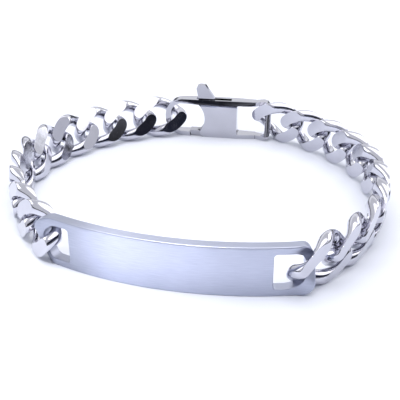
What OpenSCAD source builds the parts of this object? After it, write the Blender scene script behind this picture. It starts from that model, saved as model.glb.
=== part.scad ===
// Id bracelet: a bent plate, two sides of ten curb links and a lever clasp, closed and lying on its side.
// Millimetres, +Z up. The plate is at the front (-Y) and the clasp at the back.
// The origin is on the ground, in the middle of the space the bracelet takes up.

/* [Plate] */
// Radius the middle of the plate is bent to
plate_radius = 60; // [58:0.5:62]
// Half of the angle the plate spans
plate_half_angle = 21.2; // [20.6:0.1:21.8]
// Thickness of the plate
plate_thickness = 1.8; // [1.5:0.1:1.8]
// Height of the plate as it lies
plate_height = 8.5; // [8:0.1:9]
// Radius of the plate's corners
plate_corner = 2.4; // [1.8:0.1:2.6]
// Width of the bevel along the plate's long edges
plate_bevel = 0.2; // [0.1:0.05:0.35]
// Length of the slot at each end of the plate
slot_length = 4.8; // [4.6:0.1:5.2]
// Height of the slots
slot_height = 6; // [5.8:0.1:6.4]
// Width of the bar between a slot and the end of the plate
slot_bar = 1.4; // [1.2:0.1:1.5]
// Length of the plate's ends, where its two arms bend apart
plate_end_length = 4; // [3.6:0.1:4.4]
// Tilt of the bars at the plate's ends and at the window of the clasp, so that the links hang flat
bar_tilt = 18; // [16:0.5:20]

/* [Chain] */
// Length of a link
link_length = 12.35; // [12.25:0.05:12.5]
// Width of a link, which is the height of the chain as it lies
link_width = 9; // [8.8:0.1:9.2]
// Thickness of the wire
link_wire = 2.35; // [2:0.05:2.4]
// Angle that each end of a link is twisted by
link_twist = 54; // [52:1:56]
// Distance from the middle of a link to each of its flat faces
link_flat = 1.75; // [1.7:0.05:2]

/* [Lie] */
// Distance from link to link on the right, where the chain lies drawn out
right_pitch = 7.42; // [7.3:0.01:7.44]
// Distance from link to link on the left, where it lies closed up
left_pitch = 7.2; // [7.15:0.01:7.3]
// Turn from the end of the plate to the first link on the right
right_first = 31; // [28:0.5:33]
// Turn from link to link beside the plate, on the right
right_front = 9.8; // [9:0.1:11]
// Turn from link to link beside the clasp, on the right
right_back = 9.9; // [9:0.1:11]
// Turn from the end of the plate to the first link on the left
left_first = 20.5; // [18:0.5:24]
// Turn from link to link beside the plate, on the left
left_front = 9.1; // [8.5:0.1:10]
// Turn from link to link beside the clasp, on the left
left_back = 10.9; // [10:0.1:12]
// How much more sharply the left side bends at its middle than the right
left_extra = 1.2; // [0.5:0.1:2]
// Lean of the links next to the plate
plate_lean = 8; // [6:0.5:10]
// Lean, the other way, of the link in the clasp's window
window_lean = 8; // [6:0.5:10]
// Lean, the other way, of the link in the clasp's hook
hook_lean = 34; // [33:0.5:36]

/* [Clasp] */
// Length of the clasp
clasp_length = 23.9; // [23.4:0.1:24.4]
// Height of the clasp as it lies
clasp_height = 8.6; // [8.4:0.1:9]
// Thickness of the clasp at its body
clasp_thickness = 3.2; // [3:0.1:3.6]
// Thickness of the clasp at its two ends
clasp_end_thickness = 1.8; // [1.6:0.1:1.9]
// Radius of the hook end, seen from the side
hook_radius = 4; // [3.4:0.1:4.2]
// Radius of the window end, seen from the side
window_radius = 2.2; // [1.8:0.1:2.4]
// Height of the window
window_height = 6.8; // [6.4:0.1:7]
// Width of the bar at the window end
window_bar = 1.4; // [1.2:0.05:1.5]
// Width of the bar at the hook end
hook_bar = 1.25; // [1.1:0.05:1.5]
// How far the thumb tab stands above the case
tab_rise = 3.3; // [2.6:0.1:3.8]
// Diameter of the lever's pin
pin_diameter = 1.2; // [1:0.05:1.3]
// Angle the lever is pressed to, nought when the clasp is shut
lever_angle = 0; // [0:1:28]

/* [Hidden] */

links = 10;
link_rings = 16;
link_sides = 6;
// Exponent that makes a link fuller than an ellipse
link_fullness = 2.5;
// Half length and half width of the middle line of a link's wire
wire_a = (link_length - link_wire) / 2;
wire_b = (link_width - link_wire) / 2;
// Distance to the middle of a hanging link from the end of the plate, of the hook and of the window
plate_reach = 2;
hook_reach = 1.6;
window_reach = 1.95;
// A hanging link sits at this many times the angle it turns by
reach_swing = 1.4;
// Number of links over which the left side comes to its full lean
leaning_links = 7.5;
// Room left on each side of a moving or neighbouring piece
gap = 0.1;
// How far a cutter runs past the face it cuts
past = 1;

/* The way the chain lies */

function dir(a) = [cos(a), sin(a)];

// Turn at share s of the way from the plate to the clasp, through a front, a middle and a back value
function turn_at(t, s) = t[1] * (1 - s) * (1 - 2 * s) + t[2] * 4 * s * (1 - s) + t[3] * s * (2 * s - 1);

function chain_from(c, d, t, pitch, i) =
    i == links ? [[c.x, c.y, d]]
    : let (k = turn_at(t, (i - 1) / (links - 2)))
      concat(
          [[c.x, c.y, d]],
          chain_from(c + pitch / 2 * (dir(d) + dir(d + k)), d + k, t, pitch, i + 1)
      );

// Middle and heading of each link of a side, worked out as for the right side
function side(t, pitch) =
    let (
        end = plate_radius * [sin(plate_half_angle), -cos(plate_half_angle)],
        start = end + plate_reach * dir(plate_half_angle + reach_swing * t[0])
    )
    chain_from(start, plate_half_angle + t[0], t, pitch, 1);

function right_side(m) = side([right_first, right_front, m, right_back], right_pitch);
function left_side(m) =
    [
        for (l = side([left_first, left_front, m + left_extra, left_back], left_pitch))
            [-l.x, l.y, 180 - l.z]
    ];

function flat(l) = [l.x, l.y];

// Heading of the clasp between the last links of the two sides
function heading(l, r) = atan2(r.y - l.y, r.x - l.x);

// Turns from the clasp to the last link on the left and on the right
function last_turns(l, r) = [l.z - heading(l, r), 180 + heading(l, r) - r.z];

// How far those two links hang out from the ends of the clasp, along it and towards its inner side
function hang(turns) =
    hook_reach * [cos(reach_swing * turns[0]), sin(reach_swing * turns[0])]
    + window_reach * [cos(reach_swing * turns[1]), sin(reach_swing * turns[1])];

// How much too far apart the two sides end when the turn at their middle is m
function slack(m) =
    let (l = left_side(m)[links - 1], r = right_side(m)[links - 1])
    norm(flat(r) - flat(l)) - clasp_length - hang(last_turns(l, r)).x;

function close_loop(lo, hi, n) =
    let (m = (lo + hi) / 2)
    n == 0 ? m
    : slack(m) > 0 ? close_loop(m, hi, n - 1)
    : close_loop(lo, m, n - 1);
middle_turn = close_loop(6, 20, 30);

right_links = right_side(middle_turn);
left_links = left_side(middle_turn);
last_left = left_links[links - 1];
last_right = right_links[links - 1];
clasp_heading = heading(last_left, last_right);
turns_at_clasp = last_turns(last_left, last_right);
hook_hang = hook_reach * [cos(reach_swing * turns_at_clasp[0]), sin(reach_swing * turns_at_clasp[0])];
clasp_middle = flat(last_left)
    + (hook_hang.x + clasp_length / 2) * dir(clasp_heading)
    + hang(turns_at_clasp).y / 2 * dir(clasp_heading + 90);

/* The shape of one link: x along the chain, y through the link, z up before it leans */

function fuller(v) = sign(v) * pow(abs(v), 2 / link_fullness);

function wire_at(t) =
    let (x = wire_a * fuller(cos(t)), y = wire_b * fuller(sin(t)), f = link_twist * x / wire_a)
    [x, y * sin(f), y * cos(f)];

function unit(v) = v / norm(v);

function flattened(p) = [p.x, max(-link_flat, min(link_flat, p.y)), p.z];

function ring_at(t) =
    let (
        c = wire_at(t),
        along = unit(wire_at(t + 1) - wire_at(t - 1)),
        out = unit(c - (c * along) * along),
        across = cross(along, out)
    )
    [
        for (j = [0 : link_sides - 1])
            let (a = 360 * j / link_sides)
            flattened(c + link_wire / 2 * (cos(a) * out + sin(a) * across))
    ];

link_points = [for (i = [0 : link_rings - 1]) each ring_at(360 * i / link_rings)];

link_faces = [
    for (i = [0 : link_rings - 1], j = [0 : link_sides - 1])
        let (
            i2 = (i + 1) % link_rings,
            j2 = (j + 1) % link_sides,
            p = i * link_sides + j,
            q = i2 * link_sides + j,
            r = i2 * link_sides + j2,
            s = i * link_sides + j2
        )
        each [[p, q, r], [p, r, s]]
];

// Leans of a side's links: they change softly from the plate on and reach the last value after so many links
function lean_share(s) = s >= 1 ? 1 : s * s * (3 - 2 * s);
function leans(last, after) =
    [for (i = [0 : links - 1]) plate_lean - (plate_lean + last) * lean_share(i / after)];

right_leans = leans(window_lean, links - 1);
left_leans = leans(hook_lean, leaning_links);

function leaned(p, a) = [p.x, p.y * cos(a) - p.z * sin(a), p.y * sin(a) + p.z * cos(a)];

// Height of a leaning link's middle when it stands on the ground
function lift(a) = -min([for (p = link_points) leaned(p, a).z]);

/* The middle of the space taken up, from the links, the plate and the clasp */

function spread(l, a) =
    [for (p = link_points) let (q = leaned(p, a)) flat(l) + q.x * dir(l.z) + q.y * dir(l.z + 90)];

chain_points = [
    for (i = [0 : links - 1])
        each concat(spread(right_links[i], right_leans[i]), spread(left_links[i], left_leans[i]))
];
clasp_back = clasp_middle
    + clasp_length / 4 * dir(clasp_heading)
    + clasp_thickness / 2 * dir(clasp_heading + 90);
left_x = min([for (p = chain_points) p.x]);
right_x = max([for (p = chain_points) p.x]);
front_y = -plate_radius - plate_thickness / 2;
back_y = max(clasp_back.y, max([for (p = chain_points) p.y]));
origin_at = [(left_x + right_x) / 2, (front_y + back_y) / 2, 0];

module placed() {
    translate(-origin_at)
        children();
}

module link(l, a) {
    color("silver")
        placed()
            translate([l.x, l.y, lift(a)])
                rotate([0, 0, l.z])
                    rotate([a, 0, 0])
                        polyhedron(points = link_points, faces = link_faces, convexity = 6);
}

module right_link(i) {
    link(right_links[i], right_leans[i]);
}

module left_link(i) {
    link(left_links[i], left_leans[i]);
}

/* Flat shapes, drawn in x and height */

module rounded(x0, x1, z0, z1, r) {
    translate([x0 + r, z0])
        square([x1 - x0 - 2 * r, z1 - z0]);
    translate([x0, z0 + r])
        square([x1 - x0, z1 - z0 - 2 * r]);
    for (x = [x0 + r, x1 - r], z = [z0 + r, z1 - r])
        translate([x, z])
            circle(r = r, $fn = 32);
}

// Stands a flat shape up, from depth y0 to depth y1
module upright(y0, y1) {
    translate([0, y1, 0])
        rotate([90, 0, 0])
            linear_extrude(height = y1 - y0)
                children();
}

/* Plate */

module plate_section() {
    r0 = plate_radius - plate_thickness / 2;
    r1 = plate_radius + plate_thickness / 2;
    polygon([
        [r0, 0],
        [r1 - plate_bevel, 0],
        [r1, plate_bevel],
        [r1, plate_height - plate_bevel],
        [r1 - plate_bevel, plate_height],
        [r0, plate_height]
    ]);
}

// The end of a flat piece that a link hangs from, with its tip at x = 0: two arms bend apart, the upper one
// towards +y, and a bar leans between them
module leaning_end(run, height, wall, thickness, bar, corner) {
    arm_height = (height - wall) / 2;
    bend = atan(arm_height * tan(bar_tilt) / (run - bar / 2));
    intersection() {
        union() {
            for (side = [-1, 1])
                translate([-run, 0, height / 2 + side * arm_height])
                    rotate([0, 0, side * bend])
                        translate([-bar / 2, -thickness / 2, -wall / 2])
                            cube([run + bar, thickness, wall]);
            translate([-bar / 2, 0, height / 2])
                rotate([-bar_tilt, 0, 0])
                    cylinder(d = bar, h = height, center = true, $fn = 48);
        }
        upright(-height / 2, height / 2)
            rounded(-run - 2 * height, 0, 0, height, corner);
    }
}

slot_wall = (plate_height - slot_height) / 2;
slot_corner = 0.5;

// What is taken off the plate where its end goes on
module plate_end_room() {
    upright(-plate_thickness - past, plate_thickness + past) {
        translate([-plate_end_length, -past])
            square([plate_end_length + past, plate_height + 2 * past]);
        rounded(-slot_bar - slot_length, past, slot_wall, plate_height - slot_wall, slot_corner);
    }
}

// Places things at the plate's right-hand end, or turned half round at its left-hand end
module at_plate_end(right) {
    rotate([0, 0, right ? plate_half_angle : -plate_half_angle])
        translate([0, -plate_radius, 0])
            rotate([0, 0, right ? 0 : 180])
                children();
}

module plate() {
    color("gainsboro")
        placed() {
            difference() {
                rotate([0, 0, -90 - plate_half_angle])
                    rotate_extrude(angle = 2 * plate_half_angle, $fn = 256)
                        plate_section();
                for (right = [true, false])
                    at_plate_end(right)
                        plate_end_room();
            }
            for (right = [true, false])
                at_plate_end(right)
                    leaning_end(
                        plate_end_length,
                        plate_height,
                        slot_wall,
                        plate_thickness,
                        slot_bar,
                        plate_corner
                    );
        }
}

/* Clasp: x from the hook end to the window end, y outward, z up */

clasp_half = clasp_length / 2;
// Walls above and below the hook opening
hook_wall = 1;
// Length of the window's end, where its two arms bend apart
window_end_length = 3.5;
window_wall = (clasp_height - window_height) / 2;
window_corner = 0.3;
// Where the solid middle of the case begins and ends
case_start = -2.9;
case_end = clasp_half - window_bar - 6.2;
// Pin position, along the clasp and up
pivot = [-0.6, 1.9];
// Distances from the pin: the case's rounded shoulder, the wide part of the gate, its tip
shoulder = 3.48;
gate_start = 3.6;
gate_end = 5.72;
// The gate: height of its lower and upper face, and its thickness
gate_low = 0.15;
gate_high = 1.3;
gate_thickness = 2.1;
// The part of the lever inside the case
arm_thickness = 1.1;
arm_low = 0.75;
hub_radius = 1.3;
cavity = arm_thickness + 2 * gap;

module in_clasp() {
    placed()
        translate([clasp_middle.x, clasp_middle.y, 0])
            rotate([0, 0, clasp_heading])
                children();
}

module clasp_outline() {
    h = clasp_height;
    translate([-clasp_half + hook_radius, 0])
        square([clasp_length - hook_radius - window_radius, h]);
    translate([-clasp_half, hook_radius])
        square([hook_radius, h - 2 * hook_radius]);
    for (z = [hook_radius, h - hook_radius])
        translate([-clasp_half + hook_radius, z])
            circle(r = hook_radius, $fn = 64);
    translate([clasp_half - window_radius, window_radius])
        square([window_radius, h - 2 * window_radius]);
    for (z = [window_radius, h - window_radius])
        translate([clasp_half - window_radius, z])
            circle(r = window_radius, $fn = 64);
}

// The clasp seen from above: full thickness at the case, thin at the two ends
module clasp_taper() {
    e = clasp_end_thickness / 2;
    f = clasp_thickness / 2;
    polygon([
        [-clasp_half - past, -e],
        [-clasp_half + hook_bar, -e],
        [case_start - 1.5, -f],
        [case_end, -f],
        [clasp_half - window_bar, -e],
        [clasp_half + past, -e],
        [clasp_half + past, e],
        [clasp_half - window_bar, e],
        [case_end, f],
        [case_start - 1.5, f],
        [-clasp_half + hook_bar, e],
        [-clasp_half - past, e]
    ]);
}

// The hook opening: round towards the hook end, with a hollowed wall on the side of the case
module hook_opening() {
    round_end = 2.6;
    hollow = 4.6;
    x0 = -clasp_half + hook_bar;
    x1 = x0 + round_end;
    top = clasp_height - hook_wall;
    rounded(x0, x1 + round_end + 1, hook_wall, top, round_end);
    intersection() {
        translate([case_start - hollow, clasp_height / 2])
            circle(r = hollow, $fn = 64);
        translate([x1, hook_wall])
            square([case_start - x1 + past, top - hook_wall]);
    }
}

// Everything the wide part of the gate passes through
module gate_room() {
    intersection() {
        difference() {
            translate(pivot)
                circle(r = gate_end + gap, $fn = 96);
            translate(pivot)
                circle(r = shoulder, $fn = 96);
        }
        translate([pivot.x - 8, -past])
            square([5.7, pivot.y + 2.4 + past]);
    }
}

// Everything the lever passes through inside the case
module lever_room() {
    translate(pivot)
        circle(r = hub_radius + 0.25, $fn = 48);
    polygon([
        [-4.5, clasp_height + past],
        [3, clasp_height + past],
        [3, clasp_height - 1],
        [pivot.x + 1.5, pivot.y],
        [pivot.x, arm_low - gap],
        [pivot.x - gate_end, arm_low - gap],
        [pivot.x - gate_end, pivot.y + 2.8]
    ]);
}

// The window, open to the end of the clasp, where its leaning end goes on
module window_room() {
    rounded(case_end, clasp_half + past, window_wall, clasp_height - window_wall, window_corner);
    translate([clasp_half - window_end_length, -past])
        square([window_end_length + past, clasp_height + 2 * past]);
}

module clasp_case() {
    difference() {
        intersection() {
            upright(-clasp_thickness, clasp_thickness)
                clasp_outline();
            linear_extrude(height = clasp_height)
                clasp_taper();
        }
        upright(-clasp_thickness, clasp_thickness) {
            window_room();
            hook_opening();
            gate_room();
        }
        upright(-cavity / 2, cavity / 2)
            intersection() {
                lever_room();
                translate([case_start - 4, -past])
                    square([case_end - case_start + 3, clasp_height + 2 * past]);
            }
        translate([pivot.x, clasp_thickness / 2 + past, pivot.y])
            rotate([90, 0, 0])
                cylinder(d = pin_diameter, h = clasp_thickness + past - 0.6, $fn = 48);
    }
}

module clasp_body() {
    color("silver")
        in_clasp() {
            clasp_case();
            translate([clasp_half, 0, 0])
                leaning_end(
                    window_end_length,
                    clasp_height,
                    window_wall,
                    clasp_end_thickness,
                    window_bar,
                    window_radius
                );
        }
}

module clasp_pin() {
    color("gray")
        in_clasp()
            translate([pivot.x, clasp_thickness / 2, pivot.y])
                rotate([90, 0, 0])
                    cylinder(d = pin_diameter, h = clasp_thickness - 0.6, $fn = 48);
}

module lever_arm() {
    top = clasp_height + tab_rise;
    translate(pivot)
        circle(r = hub_radius, $fn = 48);
    polygon([
        [pivot.x - 1.25, pivot.y],
        [-4.25, clasp_height - 0.6],
        [-4.4, clasp_height],
        [-4.9, top - 0.9],
        [-4.6, top - 0.2],
        [-4.1, top],
        [-2.9, top],
        [-0.6, clasp_height],
        [pivot.x + 1.25, pivot.y + 0.3]
    ]);
    intersection() {
        polygon([
            [pivot.x, pivot.y + 1],
            [pivot.x - gate_start - 0.5, gate_high],
            [pivot.x - gate_start - 0.5, arm_low],
            [pivot.x, arm_low]
        ]);
        translate(pivot)
            circle(r = gate_start + 0.5, $fn = 96);
    }
}

module lever_gate() {
    intersection() {
        difference() {
            translate(pivot)
                circle(r = gate_end, $fn = 96);
            translate(pivot)
                circle(r = gate_start, $fn = 96);
        }
        translate([pivot.x - gate_end - past, gate_low])
            square([gate_end, gate_high - gate_low]);
    }
}

module clasp_lever() {
    color("silver")
        in_clasp()
            translate([pivot.x, 0, pivot.y])
                rotate([0, lever_angle, 0])
                    translate([-pivot.x, 0, -pivot.y])
                        difference() {
                            union() {
                                upright(-arm_thickness / 2, arm_thickness / 2)
                                    lever_arm();
                                upright(-gate_thickness / 2, gate_thickness / 2)
                                    lever_gate();
                            }
                            translate([pivot.x, clasp_thickness, pivot.y])
                                rotate([90, 0, 0])
                                    cylinder(d = pin_diameter + gap, h = 2 * clasp_thickness, $fn = 48);
                        }
}

module link_right_01() { right_link(0); }
module link_right_02() { right_link(1); }
module link_right_03() { right_link(2); }
module link_right_04() { right_link(3); }
module link_right_05() { right_link(4); }
module link_right_06() { right_link(5); }
module link_right_07() { right_link(6); }
module link_right_08() { right_link(7); }
module link_right_09() { right_link(8); }
module link_right_10() { right_link(9); }
module link_left_01() { left_link(0); }
module link_left_02() { left_link(1); }
module link_left_03() { left_link(2); }
module link_left_04() { left_link(3); }
module link_left_05() { left_link(4); }
module link_left_06() { left_link(5); }
module link_left_07() { left_link(6); }
module link_left_08() { left_link(7); }
module link_left_09() { left_link(8); }
module link_left_10() { left_link(9); }

plate();
link_right_01();
link_right_02();
link_right_03();
link_right_04();
link_right_05();
link_right_06();
link_right_07();
link_right_08();
link_right_09();
link_right_10();
link_left_01();
link_left_02();
link_left_03();
link_left_04();
link_left_05();
link_left_06();
link_left_07();
link_left_08();
link_left_09();
link_left_10();
clasp_body();
clasp_lever();
clasp_pin();
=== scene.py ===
"""Id bracelet in polished steel, closed and lying on its side on a white ground."""

from math import atan2, cos, degrees, pi, radians, sin, tan

import bmesh
import bpy
from mathutils import Matrix, Vector
from mathutils.geometry import delaunay_2d_cdt


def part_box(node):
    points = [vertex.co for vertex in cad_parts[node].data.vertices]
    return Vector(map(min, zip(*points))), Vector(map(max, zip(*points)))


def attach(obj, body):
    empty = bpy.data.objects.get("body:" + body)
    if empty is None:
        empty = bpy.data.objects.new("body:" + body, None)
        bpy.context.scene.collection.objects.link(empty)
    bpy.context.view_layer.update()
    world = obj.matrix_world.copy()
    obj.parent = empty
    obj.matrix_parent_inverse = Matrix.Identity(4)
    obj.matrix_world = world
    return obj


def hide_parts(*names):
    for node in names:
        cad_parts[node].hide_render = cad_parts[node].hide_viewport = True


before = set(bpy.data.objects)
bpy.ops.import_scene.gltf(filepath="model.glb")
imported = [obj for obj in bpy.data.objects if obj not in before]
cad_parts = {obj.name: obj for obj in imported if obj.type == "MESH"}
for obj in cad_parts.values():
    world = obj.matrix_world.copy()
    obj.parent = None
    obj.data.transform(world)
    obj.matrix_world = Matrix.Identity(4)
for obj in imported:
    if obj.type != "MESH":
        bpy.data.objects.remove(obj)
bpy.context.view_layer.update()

MM = 0.001

# Driving dimensions in millimetres and degrees: the solids' own, except where a comment says otherwise

PLATE_RADIUS = 60.0
PLATE_HALF_ANGLE = 21.2
# Half the length of the plate's flat pattern
PLATE_HALF = radians(PLATE_HALF_ANGLE) * PLATE_RADIUS
PLATE_THICKNESS = 1.8
PLATE_HEIGHT = 8.5
# A little rounder than the solid's
PLATE_CORNER = 2.6
PLATE_BEVEL = 0.2
SLOT_LENGTH = 4.8
SLOT_HEIGHT = 6.0
SLOT_BAR = 1.4
SLOT_BEVEL = 0.12
# Corners of the slots: towards the middle of the plate, at the back and at the front of a leaning bar
SLOT_CORNERS = (0.5, 1.8, 2.8)
# Length of the plate's leaning ends and tilt of their bars
LEAN_LENGTH = 3.0
BAR_TILT = 18.0
# The arms above and below a bar: how far from its middle they start, and the share of the lean they don't take
ARM_START = 2.2
ARM_CALM = 0.6
# Distance between the plate's points: along its outline, along the slots, and how far the inner ones stay off
PLATE_SPACING = 0.8
SLOT_SPACING = 0.6
GRID_MARGIN = 0.45

LINKS = 10
LINK_LENGTH = 12.35
LINK_WIDTH = 9.0
LINK_WIRE = 2.35
LINK_TWIST = 54.0
LINK_FULLNESS = 2.5
# The flats lie a little further in than the solids', and their rims are eased
LINK_FLAT = 1.55
LINK_EASE = 0.12
# How much the flats are crowned, along and across the link: share of the thickness lost per square millimetre
# off the middle. The power keeps the crown near the flats.
LINK_CROWN = (0.004, 0.014)
CROWN_POWER = 4
# The wire is a little thicker than the solids' and thinner through the link than it is wide
LOOK_WIRE = 2.48
WIRE_SQUASH = 0.93
# Turns of the chain: at the plate's end, then at the front, middle and back of the side
RIGHT_TURNS = (31.0, 9.8, 0.0, 9.9)
LEFT_TURNS = (20.5, 9.1, 1.2, 10.9)
RIGHT_PITCH = 7.42
LEFT_PITCH = 7.2
# How far the end links hang out, and how much more than a link's own turn that direction swings
PLATE_REACH = 2.0
HOOK_REACH = 1.6
WINDOW_REACH = 1.95
REACH_SWING = 1.4
# Leans of the links next to the plate, and the other way next to the clasp
PLATE_LEAN = 8.0
WINDOW_LEAN = 8.0
HOOK_LEAN = 34.0
# Number of links over which the left side comes to its full lean
LEANING_LINKS = 7.5

CLASP_LENGTH = 23.9
CLASP_HEIGHT = 8.6
CLASP_THICKNESS = 3.2
# How far the clasp's edges are eased, and the angle from which an edge counts as sharp
CLASP_EASE = 0.08
LEVER_EASE = 0.14
SHARP_EDGE = 28.0
# The case's top facets: where each starts and ends below the top edge, and its tilt; and how they slope
TOP_FACETS = ((1.5, 0.8, 11.0), (0.8, 0.0, 27.0))
FACET_SLOPE = 2.0

# Looks: a colour is red, green and blue

# Dull and bright patches of the polished steel, and the painted shade that makes the clasp's and the lever's
# steel darker
POLISH = (0.54, 0.65)
POLISH_BLUE = 1.10
CLASP_PAINTED_SHADE = 0.81
LEVER_PAINTED_SHADE = 0.68
# The brushed steel's darker and lighter lines, and how often they change along and across the plate, per mm
BRUSH_TONES = ((0.50, 0.53, 0.68), (0.79, 0.83, 0.98))
BRUSH_LINES = (0.35, 8.0, 1.0)
# Painted sheen of the brushed face: how bright its colour is painted along the plate, from its left end (0) to
# its right end (1)
PAINTED_SHEEN = ((0.12, 0.62), (0.32, 0.97), (0.52, 0.86), (0.75, 0.74), (0.92, 0.72))
# Painted shade at the face's foot: how bright its colour is painted there, and the heights between which it
# brightens
PAINTED_FOOT_SHADE = 0.87
FOOT_HEIGHTS = (0.5, 4.5)
GROUND = (0.90, 0.93, 1.0)

# The dark patch of the room behind the camera: azimuth and rise in degrees, how high it is for its width,
# and its colours from the middle outwards
DARK_SIDE = (-52.0, 27.0)
DARK_SQUEEZE = 0.22
DARK_ROOM = (
    (0.0, (0.013, 0.020, 0.065)),
    (0.19, (0.0188, 0.0192, 0.0216)),
    (0.27, (0.329, 0.336, 0.378)),
    (0.36, (0.6768, 0.6912, 0.7776)),
    (1.0, (0.80, 0.81, 0.85)),
)
# Cosines of the angle off the middle between which the patch comes to its end at its sides
DARK_SIDES = (0.60, 0.2)
# Brightness of the dark strip round the horizon, upwards from it
HORIZON = ((0.0, (0.05, 0.05, 0.05)), (0.09, (0.14, 0.14, 0.15)), (0.19, (1.0, 1.0, 1.0)))

# Soft lights that face the bracelet: place and size in metres, power in watts, colour
SOFTBOXES = {
    "top": ((0.05, 0.0, 0.45), (0.75, 0.60), 1.75, (1, 0.98, 0.99)),
    "back": ((-0.06, 0.40, 0.16), (0.60, 0.16), 0.085, (0.97, 0.98, 1)),
    "left": ((-0.40, 0.02, 0.18), (0.30, 0.20), 0.35, (0.95, 0.97, 1)),
    "right": ((0.30, 0.36, 0.20), (0.24, 0.20), 0.30, (0.95, 0.97, 1)),
}
# The pool of light before the plate: where it comes from and falls, its width in degrees and its power
POOL = ((-0.05, -0.22, 0.34), (-0.012, -0.046, 0.0), 8.0, 6.0)

# The camera, in metres and degrees: where it stands, how far it turns left of +Y and looks down
CAMERA_PLACE = Vector((0.02766, -0.11732, 0.06144))
CAMERA_HEADING = 13.06
CAMERA_TILT = 27.64
# Distance from the lens to the picture, in pixels of a picture 400 pixels wide
CAMERA_REACH = 701.6
PICTURE_WIDTH = 400.0


# The way the chain lies


def direction(angle):
    return Vector((cos(radians(angle)), sin(radians(angle))))


def side_of_chain(turns, pitch):
    """Middle and heading of each link of a side, worked out as for the right side."""
    first, front, middle, back = turns
    end = PLATE_RADIUS * Vector((sin(radians(PLATE_HALF_ANGLE)), -cos(radians(PLATE_HALF_ANGLE))))
    place = end + PLATE_REACH * direction(PLATE_HALF_ANGLE + REACH_SWING * first)
    heading = PLATE_HALF_ANGLE + first
    links = [(place, heading)]
    for i in range(LINKS - 1):
        s = i / (LINKS - 2)
        turn = front * (1 - s) * (1 - 2 * s) + middle * 4 * s * (1 - s) + back * s * (2 * s - 1)
        place = place + pitch / 2 * (direction(heading) + direction(heading + turn))
        heading += turn
        links.append((place, heading))
    return links


def both_sides(middle):
    first, front, extra, back = RIGHT_TURNS
    right = side_of_chain((first, front, middle + extra, back), RIGHT_PITCH)
    first, front, extra, back = LEFT_TURNS
    mirrored = side_of_chain((first, front, middle + extra, back), LEFT_PITCH)
    left = [(Vector((-place.x, place.y)), 180 - heading) for place, heading in mirrored]
    return right, left


def clasp_heading(right, left):
    span = right[-1][0] - left[-1][0]
    return degrees(atan2(span.y, span.x))


def hang(right, left):
    """How far the last links hang out at the hook and at the window, along the clasp and to its inner side."""
    heading = clasp_heading(right, left)
    hook = direction(REACH_SWING * (left[-1][1] - heading))
    window = direction(REACH_SWING * (180 + heading - right[-1][1]))
    return HOOK_REACH * hook, WINDOW_REACH * window


def close_loop():
    """Both sides of the chain, with the turn at their middle at which they just meet the clasp."""
    low, high = 6.0, 20.0
    for _ in range(30):
        middle = (low + high) / 2
        right, left = both_sides(middle)
        hook, window = hang(right, left)
        slack = (right[-1][0] - left[-1][0]).length - CLASP_LENGTH - hook.x - window.x
        if slack > 0:
            low = middle
        else:
            high = middle
    return right, left


right_links, left_links = close_loop()
# The plate is the frontmost thing and stands with its middle on the arc's centre line
plate_low, plate_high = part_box("plate")
ARC_CENTRE = Vector((
    (plate_low[0] + plate_high[0]) / 2 / MM,
    plate_low[1] / MM + PLATE_RADIUS + PLATE_THICKNESS / 2,
))


# Mesh helpers


def piece_from(bm, name, node, material, body="bracelet", ease=None):
    """Makes a piece from a mesh in millimetres, where the frame has it, to stand for a node. Where the mesh has
    edge weights, ease is how far an edge of full weight is rounded, in millimetres."""
    bmesh.ops.scale(bm, vec=(MM, MM, MM), verts=bm.verts)
    bmesh.ops.recalc_face_normals(bm, faces=bm.faces)
    mesh = bpy.data.meshes.new(name)
    bm.to_mesh(mesh)
    bm.free()
    mesh.shade_smooth()
    mesh.materials.append(material)
    piece = bpy.data.objects.new(name, mesh)
    bpy.context.scene.collection.objects.link(piece)
    if ease:
        rounding = piece.modifiers.new("eased edges", "BEVEL")
        rounding.width = ease * MM
        rounding.segments = 3
        rounding.limit_method = "WEIGHT"
    weighted = piece.modifiers.new("even normals", "WEIGHTED_NORMAL")
    weighted.weight = 100
    weighted.keep_sharp = True
    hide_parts(node)
    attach(piece, body)


# Materials


def new_material(name):
    material = bpy.data.materials.new(name)
    material.use_nodes = True
    tree = material.node_tree
    return material, tree, tree.nodes["Principled BSDF"]


def node(tree, kind, inputs=None, **settings):
    made = tree.nodes.new(kind)
    for name, value in settings.items():
        setattr(made, name, value)
    for name, value in (inputs or {}).items():
        made.inputs[name].default_value = value
    return made


def noise(tree, vector, scale, detail=3.0, roughness=0.5):
    made = node(tree, "ShaderNodeTexNoise", {"Scale": scale, "Detail": detail, "Roughness": roughness})
    tree.links.new(vector, made.inputs["Vector"])
    return made.outputs["Fac"]


def spread(tree, value, low, high, start=0.3, end=0.7):
    """Maps a value, or by default a noise, to a range."""
    sockets = {"From Min": start, "From Max": end, "To Min": low, "To Max": high}
    made = node(tree, "ShaderNodeMapRange", sockets)
    tree.links.new(value, made.inputs["Value"])
    return made.outputs["Result"]


def coloured(tree, value, stops, interpolation="LINEAR"):
    """Gives a value the colours of a row of stops, each a position and a colour."""
    made = node(tree, "ShaderNodeValToRGB")
    made.color_ramp.interpolation = interpolation
    elements = made.color_ramp.elements
    for element, (position, colour) in zip(elements, (stops[0], stops[-1])):
        element.position = position
        element.color = (*colour, 1)
    for position, colour in stops[1:-1]:
        elements.new(position).color = (*colour, 1)
    tree.links.new(value, made.inputs["Fac"])
    return made.outputs["Color"]


def multiplied(tree, one, other):
    made = node(tree, "ShaderNodeMixRGB", {"Fac": 1.0}, blend_type="MULTIPLY")
    tree.links.new(one, made.inputs["Color1"])
    tree.links.new(other, made.inputs["Color2"])
    return made.outputs["Color"]


def bumped(tree, height, strength, distance, onto=None):
    made = node(tree, "ShaderNodeBump", {"Strength": strength, "Distance": distance})
    tree.links.new(height, made.inputs["Height"])
    if onto is not None:
        tree.links.new(onto, made.inputs["Normal"])
    return made.outputs["Normal"]


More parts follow.
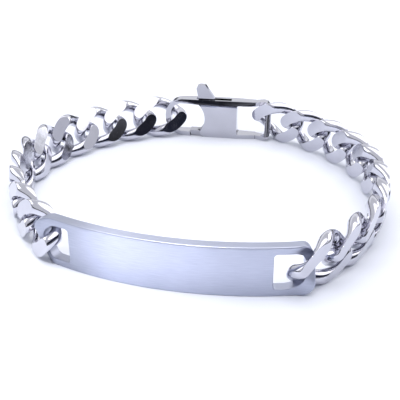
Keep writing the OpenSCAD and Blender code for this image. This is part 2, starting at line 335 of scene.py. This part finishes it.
def polished_steel(name, painted_shade):
    """Mirror-bright steel: faint ripple from buffing, hairline scratches, slightly duller patches, darkened by
    a painted shade for the clasp and the lever.
    """
    material, tree, shader = new_material(name)
    place = node(tree, "ShaderNodeTexCoord").outputs["Object"]
    shader.inputs["Metallic"].default_value = 1.0
    dull, bright = (level * painted_shade * Vector((1, 1, POLISH_BLUE)) for level in POLISH)
    patches = coloured(tree, noise(tree, place, 260.0), ((0.0, dull), (1.0, bright)))
    tree.links.new(patches, shader.inputs["Base Color"])
    smear = spread(tree, noise(tree, place, 700.0, 4.0), 0.05, 0.13)
    tree.links.new(smear, shader.inputs["Roughness"])
    ripple = bumped(tree, noise(tree, place, 420.0, 2.0), 0.25, 0.00002)
    stretch = node(tree, "ShaderNodeMapping", {"Scale": (1.0, 9.0, 3.0), "Rotation": (0.4, 0.2, 0.7)})
    tree.links.new(place, stretch.inputs["Vector"])
    hairlines = bumped(tree, noise(tree, stretch.outputs["Vector"], 2600.0, 2.0), 0.12, 0.000008, ripple)
    tree.links.new(hairlines, shader.inputs["Normal"])
    return material


def satin_steel():
    """Steel brushed along the plate: fine lines lengthwise, over a painted sheen and a painted shade at its
    foot.
    """
    material, tree, shader = new_material("satin_steel")
    flat = node(tree, "ShaderNodeUVMap", uv_map="along").outputs["UV"]
    shader.inputs["Metallic"].default_value = 1.0
    lines = node(tree, "ShaderNodeMapping", {"Scale": BRUSH_LINES})
    tree.links.new(flat, lines.inputs["Vector"])
    brush = noise(tree, lines.outputs["Vector"], 1.0, 4.0, 0.6)
    dark, light = BRUSH_TONES
    steel = coloured(tree, brush, ((0.0, dark), (1.0, light)))
    # The painted sheen is strongest a little left of the plate's middle, and a painted shade makes the face
    # darker at its foot
    where = node(tree, "ShaderNodeSeparateXYZ")
    tree.links.new(flat, where.inputs["Vector"])
    place = spread(tree, where.outputs["X"], 0.0, 1.0, -PLATE_HALF, PLATE_HALF)
    painted_sheen = coloured(tree, place, [(position, (level,) * 3) for position, level in PAINTED_SHEEN], "EASE")
    foot = spread(tree, where.outputs["Y"], PAINTED_FOOT_SHADE, 1.0, *FOOT_HEIGHTS)
    steel = multiplied(tree, steel, multiplied(tree, painted_sheen, foot))
    tree.links.new(steel, shader.inputs["Base Color"])
    cloud = noise(tree, flat, 0.09, 2.0)
    tree.links.new(spread(tree, cloud, 0.30, 0.38), shader.inputs["Roughness"])
    tree.links.new(bumped(tree, brush, 0.25, 0.00001), shader.inputs["Normal"])
    return material


polished = polished_steel("polished_steel", 1.0)
# The clasp's and the lever's steel are copies of the links' steel darkened by a painted shade
clasp_painted_shade_steel = polished_steel("clasp_painted_shade_steel", CLASP_PAINTED_SHADE)
lever_painted_shade_steel = polished_steel("lever_painted_shade_steel", LEVER_PAINTED_SHADE)
satin_painted_sheen = satin_steel()


# Links


def fuller(value):
    """Bends a sine or cosine so that a link's outline is fuller than an ellipse."""
    size = abs(value) ** (2 / LINK_FULLNESS)
    return size if value >= 0 else -size


def wire_at(turn):
    """A point on the middle line of a link's twisted wire: x along the chain, y through the link."""
    half_length = (LINK_LENGTH - LINK_WIRE) / 2
    half_width = (LINK_WIDTH - LINK_WIRE) / 2
    x = half_length * fuller(cos(radians(turn)))
    w = half_width * fuller(sin(radians(turn)))
    twist = radians(LINK_TWIST * x / half_length)
    return Vector((x, w * sin(twist), w * cos(twist)))


def cut_off(bm, place, outward):
    """Grinds everything away that is past a plane, and gives the new edge."""
    cut = bmesh.ops.bisect_plane(
        bm,
        geom=bm.verts[:] + bm.edges[:] + bm.faces[:],
        plane_co=place,
        plane_no=outward,
        clear_outer=True,
    )
    rim = [e for e in cut["geom_cut"] if isinstance(e, bmesh.types.BMEdge)]
    bmesh.ops.holes_fill(bm, edges=rim, sides=0)
    return rim


def one_link(rings=96, sides=28):
    """A link in its own place: x along the chain, y through the link."""
    bm = bmesh.new()
    loops = []
    for i in range(rings):
        turn = 360 * i / rings
        middle = wire_at(turn)
        along = (wire_at(turn + 1) - wire_at(turn - 1)).normalized()
        out = (middle - middle.dot(along) * along).normalized()
        across = along.cross(out)
        loop = []
        for j in range(sides):
            a = 2 * pi * j / sides
            offset = cos(a) * out + WIRE_SQUASH * sin(a) * across
            loop.append(bm.verts.new(middle + LOOK_WIRE / 2 * offset))
        loops.append(loop)
    for i in range(rings):
        for j in range(sides):
            here, there = loops[i], loops[(i + 1) % rings]
            k = (j + 1) % sides
            bm.faces.new((here[j], there[j], there[k], here[k]))
    for side in (1, -1):
        rim = cut_off(bm, (0, side * LINK_FLAT, 0), (0, side, 0))
        bmesh.ops.bevel(bm, geom=rim, offset=LINK_EASE, segments=2, affect="EDGES", clamp_overlap=True)
    for v in bm.verts:
        crown = LINK_CROWN[0] * v.co.x ** 2 + LINK_CROWN[1] * v.co.z ** 2
        v.co.y *= 1 - crown * (v.co.y / LINK_FLAT) ** CROWN_POWER
    return bm


def add_link(name, place, heading, lean):
    bm = one_link()
    for angle, axis in ((lean, "X"), (heading, "Z")):
        turned = Matrix.Rotation(radians(angle), 3, axis)
        bmesh.ops.rotate(bm, verts=bm.verts, cent=(0, 0, 0), matrix=turned)
    lift = -min(v.co.z for v in bm.verts)
    where = place + ARC_CENTRE
    bmesh.ops.translate(bm, verts=bm.verts, vec=(where.x, where.y, lift))
    piece_from(bm, name + "_steel", name, polished)


for side, links, last, after in (
    ("right", right_links, WINDOW_LEAN, LINKS - 1),
    ("left", left_links, HOOK_LEAN, LEANING_LINKS),
):
    for i, (place, heading) in enumerate(links):
        s = min(i / after, 1.0)
        lean = PLATE_LEAN - (PLATE_LEAN + last) * s * s * (3 - 2 * s)
        add_link(f"link_{side}_{i + 1:02d}", place, heading, lean)


# Plate


def rounded_rectangle(x0, x1, z0, z1, radii, steps=6):
    """Points round a rectangle, anticlockwise, each with its outward direction. The radii of its corners go
    anticlockwise from the lower right one."""
    points = []
    corners = ((x1, z0, -1, 1, -90), (x1, z1, -1, -1, 0), (x0, z1, 1, -1, 90), (x0, z0, 1, 1, 180))
    for (x, z, inward_x, inward_z, start), radius in zip(corners, radii):
        middle = Vector((x + radius * inward_x, z + radius * inward_z))
        for k in range(steps + 1):
            out = direction(start + 90 * k / steps)
            points.append((middle + radius * out, out))
    return points


def divided(points, spacing):
    """Adds points along the straight stretches."""
    result = []
    for (p, out), (q, _) in zip(points, points[1:] + points[:1]):
        parts = max(1, round((q - p).length / spacing))
        side = (q - p).normalized()
        straight = Vector((side.y, -side.x))
        result.append((p, out))
        for k in range(1, parts):
            result.append((p.lerp(q, k / parts), straight))
    return result


def slab(outer, holes, thickness, bevels, place, grid):
    """A plate with holes. Each loop is points with outward directions, holes' directions point into the hole.
    place(u, v, depth) puts a point of the flat pattern, depth below its front face, where it belongs."""
    bm = bmesh.new()
    uv = bm.loops.layers.uv.new("along")
    flat_of = {}

    def vertex(p, depth):
        made = bm.verts.new(place(p.x, p.y, depth))
        flat_of[made] = Vector((p.x, p.y + depth))
        return made

    steps = 3
    rims = {0: [], 1: []}
    for points, bevel in zip([outer] + holes, bevels):
        rows = []
        for side in (0, 1):
            for k in range(steps + 1):
                a = pi / 2 * (k if side == 0 else steps - k) / steps
                inset = bevel * (1 - sin(a))
                depth = bevel * (1 - cos(a))
                if side == 1:
                    depth = thickness - depth
                rows.append([vertex(p - inset * out, depth) for p, out in points])
        for upper, lower in zip(rows, rows[1:]):
            for k in range(len(points)):
                m = (k + 1) % len(points)
                bm.faces.new((upper[k], upper[m], lower[m], lower[k]))
        rims[0].append(rows[0])
        rims[1].append(rows[-1])
    for side in (0, 1):
        known = [v for rim in rims[side] for v in rim]
        edges = []
        start = 0
        for rim in rims[side]:
            edges += [(start + k, start + (k + 1) % len(rim)) for k in range(len(rim))]
            start += len(rim)
        depth = 0 if side == 0 else thickness
        flat = [Vector((flat_of[v].x, flat_of[v].y - depth)) for v in known]
        known += [vertex(p, depth) for p in grid]
        coords, _, faces, source, _, _ = delaunay_2d_cdt(flat + list(grid), edges, [], 1, 1e-5)
        for face in faces:
            middle = sum((coords[i] for i in face), Vector((0, 0))) / 3
            if any(inside(middle, [p for p, _ in hole]) for hole in holes):
                continue
            bm.faces.new([known[source[i][0]] for i in face])
    for face in bm.faces:
        for corner in face.loops:
            corner[uv].uv = flat_of[corner.vert]
    bmesh.ops.delete(bm, geom=[v for v in bm.verts if not v.link_faces], context="VERTS")
    return bm


def inside(p, ring):
    """Whether a point is inside a closed ring."""
    hit = False
    for a, b in zip(ring, ring[1:] + ring[:1]):
        if (a.y > p.y) != (b.y > p.y) and p.x < a.x + (b.x - a.x) * (p.y - a.y) / (b.y - a.y):
            hit = not hit
    return hit


def inner_points(outer, holes, spacing, margin):
    """An even grid of points that lie inside the outline and outside the holes."""
    xs = [p.x for p, _ in outer]
    zs = [p.y for p, _ in outer]
    found = []
    across = int((max(xs) - min(xs)) / spacing)
    up = int((max(zs) - min(zs)) / spacing)
    for i in range(1, across):
        for j in range(1, up):
            x = min(xs) + (max(xs) - min(xs)) * i / across
            z = min(zs) + (max(zs) - min(zs)) * j / up
            p = Vector((x, z))
            near = min((p - q).length for loop in [outer] + holes for q, _ in loop)
            if near < margin or not inside(p, [q for q, _ in outer]):
                continue
            if any(inside(p, [q for q, _ in hole]) for hole in holes):
                continue
            found.append(p)
    return found


def bent(u, v, depth):
    """A point of the plate's flat pattern on its bend. The two ends lean, the right one's top going back and
    the left one's top coming forward, so that the chain's links hang flat from them."""
    share = (abs(u) - PLATE_HALF + LEAN_LENGTH) / (LEAN_LENGTH - SLOT_BAR / 2)
    share = min(max(share, 0.0), 1.0)
    share = share * share * (3 - 2 * share)
    rise = v - PLATE_HEIGHT / 2
    calm = min(max((abs(rise) - ARM_START) / (PLATE_HEIGHT / 2 - ARM_START), 0.0), 1.0)
    back = share * tan(radians(BAR_TILT)) * rise * (1 - ARM_CALM * calm)
    if u < 0:
        back = -back
    angle = u / PLATE_RADIUS
    radius = PLATE_RADIUS + PLATE_THICKNESS / 2 - depth - back
    return (ARC_CENTRE.x + radius * sin(angle), ARC_CENTRE.y - radius * cos(angle), v)


def add_plate():
    outline = rounded_rectangle(-PLATE_HALF, PLATE_HALF, 0, PLATE_HEIGHT, (PLATE_CORNER,) * 4, 8)
    outer = divided(outline, PLATE_SPACING)
    outside = PLATE_HALF - SLOT_BAR
    inner = outside - SLOT_LENGTH
    foot = (PLATE_HEIGHT - SLOT_HEIGHT) / 2
    small, wide, wider = SLOT_CORNERS
    slots = (
        (-outside, -inner, foot, foot + SLOT_HEIGHT, (small, small, wider, wide)),
        (inner, outside, foot, foot + SLOT_HEIGHT, (wider, wide, small, small)),
    )
    holes = []
    for slot in slots:
        holes.append([(p, -out) for p, out in divided(rounded_rectangle(*slot), SLOT_SPACING)])
    grid = inner_points(outer, holes, PLATE_SPACING, GRID_MARGIN)
    bm = slab(outer, holes, PLATE_THICKNESS, (PLATE_BEVEL, SLOT_BEVEL, SLOT_BEVEL), bent, grid)
    piece_from(bm, "plate_steel", "plate", satin_painted_sheen)


add_plate()


# Clasp: the case, the lever and its pin keep the solids' shapes, with their edges eased and the case's face
# turned back at its top edge on the wrist side


def eased_copy(name, body, steel, ease, cuts=()):
    """A copy of a node with the cuts made in it and its sharp edges eased."""
    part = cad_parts[name]
    bm = bmesh.new()
    bm.from_mesh(part.data)
    bm.transform(Matrix.Scale(1 / MM, 4) @ part.matrix_world)
    bmesh.ops.remove_doubles(bm, verts=bm.verts, dist=0.002)
    for cut in cuts:
        cut_off(bm, *cut)
    bmesh.ops.dissolve_limit(bm, angle_limit=radians(0.5), verts=bm.verts, edges=bm.edges)
    weights = bm.edges.layers.float.new("bevel_weight_edge")
    for edge in bm.edges:
        if len(edge.link_faces) == 2 and edge.calc_face_angle(0) > radians(SHARP_EDGE):
            edge[weights] = 1.0
    piece_from(bm, name + "_steel", name, steel, body, ease)


def add_clasp():
    heading = clasp_heading(right_links, left_links)
    hook, window = hang(right_links, left_links)
    along, out = direction(heading), direction(heading + 90)
    last = left_links[-1][0] + ARC_CENTRE
    middle = last + (hook.x + CLASP_LENGTH / 2) * along + (hook.y + window.y) / 2 * out
    # The case's face turns back towards its top edge, in two facets that widen to the right
    face = middle - CLASP_THICKNESS / 2 * out
    slope = radians(FACET_SLOPE)
    up = cos(slope) * Vector((0, 0, 1)) + sin(slope) * along.to_3d()
    cuts = []
    depth = 0.0
    for drop, next_drop, tilt in TOP_FACETS:
        outward = sin(radians(tilt)) * up - cos(radians(tilt)) * out.to_3d()
        cuts.append(((face.x + depth * out.x, face.y + depth * out.y, CLASP_HEIGHT - drop), outward))
        depth += (drop - next_drop) * tan(radians(tilt))
    eased_copy("clasp_body", "bracelet", clasp_painted_shade_steel, CLASP_EASE, cuts)
    eased_copy("clasp_lever", "lever", lever_painted_shade_steel, LEVER_EASE)
    eased_copy("clasp_pin", "bracelet", clasp_painted_shade_steel, CLASP_EASE)


add_clasp()


# Ground, light and camera


def add_floor():
    bm = bmesh.new()
    bmesh.ops.create_circle(bm, cap_ends=True, segments=64, radius=0.42)
    mesh = bpy.data.meshes.new("floor")
    bm.to_mesh(mesh)
    bm.free()
    floor = bpy.data.objects.new("floor", mesh)
    bpy.context.scene.collection.objects.link(floor)
    floor.location = (0, 0.08, 0)
    material, _, shader = new_material("white_ground")
    shader.inputs["Base Color"].default_value = (*GROUND, 1)
    shader.inputs["Roughness"].default_value = 0.7
    mesh.materials.append(material)


def aimed(light, place, target):
    """Hangs a light up where it belongs, facing its target."""
    lamp = bpy.data.objects.new(light.name, light)
    lamp.location = place
    lamp.rotation_euler = (Vector(target) - Vector(place)).to_track_quat("-Z", "Y").to_euler()
    bpy.context.scene.collection.objects.link(lamp)
    return lamp


def softbox(name, place, size, power, colour):
    light = bpy.data.lights.new(name, "AREA")
    light.shape = "RECTANGLE"
    light.size, light.size_y = size
    light.energy = power
    light.color = colour
    aimed(light, place, (0, 0, 0)).visible_camera = False


def spot_on_ground(place, target, width, power):
    """A soft pool of light on the ground before the plate, which the plate mirrors."""
    light = bpy.data.lights.new("pool", "SPOT")
    light.energy = power
    light.spot_size = radians(width)
    light.spot_blend = 1.0
    light.shadow_soft_size = 0.03
    aimed(light, place, target)


def add_world():
    """A bright room with a dark patch and a dark horizon, seen in the steel only. The backdrop is white."""
    world = bpy.data.worlds.new("studio")
    bpy.context.scene.world = world
    world.use_nodes = True
    tree = world.node_tree
    backdrop = tree.nodes["Background"]
    seen = node(tree, "ShaderNodeBackground", {"Color": (1, 1, 1, 1), "Strength": 1.0})
    way = node(tree, "ShaderNodeTexCoord").outputs["Generated"]
    # The patch is turned to lie along +X
    azimuth, rise = (radians(angle) for angle in DARK_SIDE)
    level = node(tree, "ShaderNodeMapping", {"Rotation": (0.0, 0.0, -azimuth)})
    tree.links.new(way, level.inputs["Vector"])
    ahead = node(tree, "ShaderNodeMapping", {"Rotation": (0.0, rise, 0.0)})
    tree.links.new(level.outputs["Vector"], ahead.inputs["Vector"])
    split = node(tree, "ShaderNodeSeparateXYZ")
    tree.links.new(ahead.outputs["Vector"], split.inputs["Vector"])
    flattened = node(tree, "ShaderNodeVectorMath", {1: (0.0, DARK_SQUEEZE, 1.0)}, operation="MULTIPLY")
    tree.links.new(ahead.outputs["Vector"], flattened.inputs[0])
    off = node(tree, "ShaderNodeVectorMath", operation="LENGTH")
    tree.links.new(flattened.outputs["Vector"], off.inputs[0])
    behind = spread(tree, split.outputs["X"], 0.0, 1.0, *DARK_SIDES)
    away = node(tree, "ShaderNodeMath", operation="ADD")
    tree.links.new(off.outputs["Value"], away.inputs[0])
    tree.links.new(behind, away.inputs[1])
    room = coloured(tree, away.outputs["Value"], DARK_ROOM)
    upright = node(tree, "ShaderNodeSeparateXYZ")
    tree.links.new(way, upright.inputs["Vector"])
    strip = coloured(tree, upright.outputs["Z"], HORIZON)
    tree.links.new(multiplied(tree, room, strip), backdrop.inputs["Color"])
    mix = node(tree, "ShaderNodeMixShader")
    tree.links.new(node(tree, "ShaderNodeLightPath").outputs["Is Camera Ray"], mix.inputs["Fac"])
    tree.links.new(backdrop.outputs["Background"], mix.inputs[1])
    tree.links.new(seen.outputs["Background"], mix.inputs[2])
    tree.links.new(mix.outputs["Shader"], tree.nodes["World Output"].inputs["Surface"])


def add_camera():
    data = bpy.data.cameras.new("camera")
    data.angle = 2 * atan2(PICTURE_WIDTH / 2, CAMERA_REACH)
    data.clip_start = 0.005
    camera = bpy.data.objects.new("camera", data)
    camera.location = CAMERA_PLACE
    camera.rotation_euler = (radians(90 - CAMERA_TILT), 0, radians(CAMERA_HEADING))
    bpy.context.scene.collection.objects.link(camera)
    bpy.context.scene.camera = camera


add_floor()
add_world()
for name, settings in SOFTBOXES.items():
    softbox(name, *settings)
spot_on_ground(*POOL)
add_camera()
bpy.context.scene.view_settings.view_transform = "Standard"
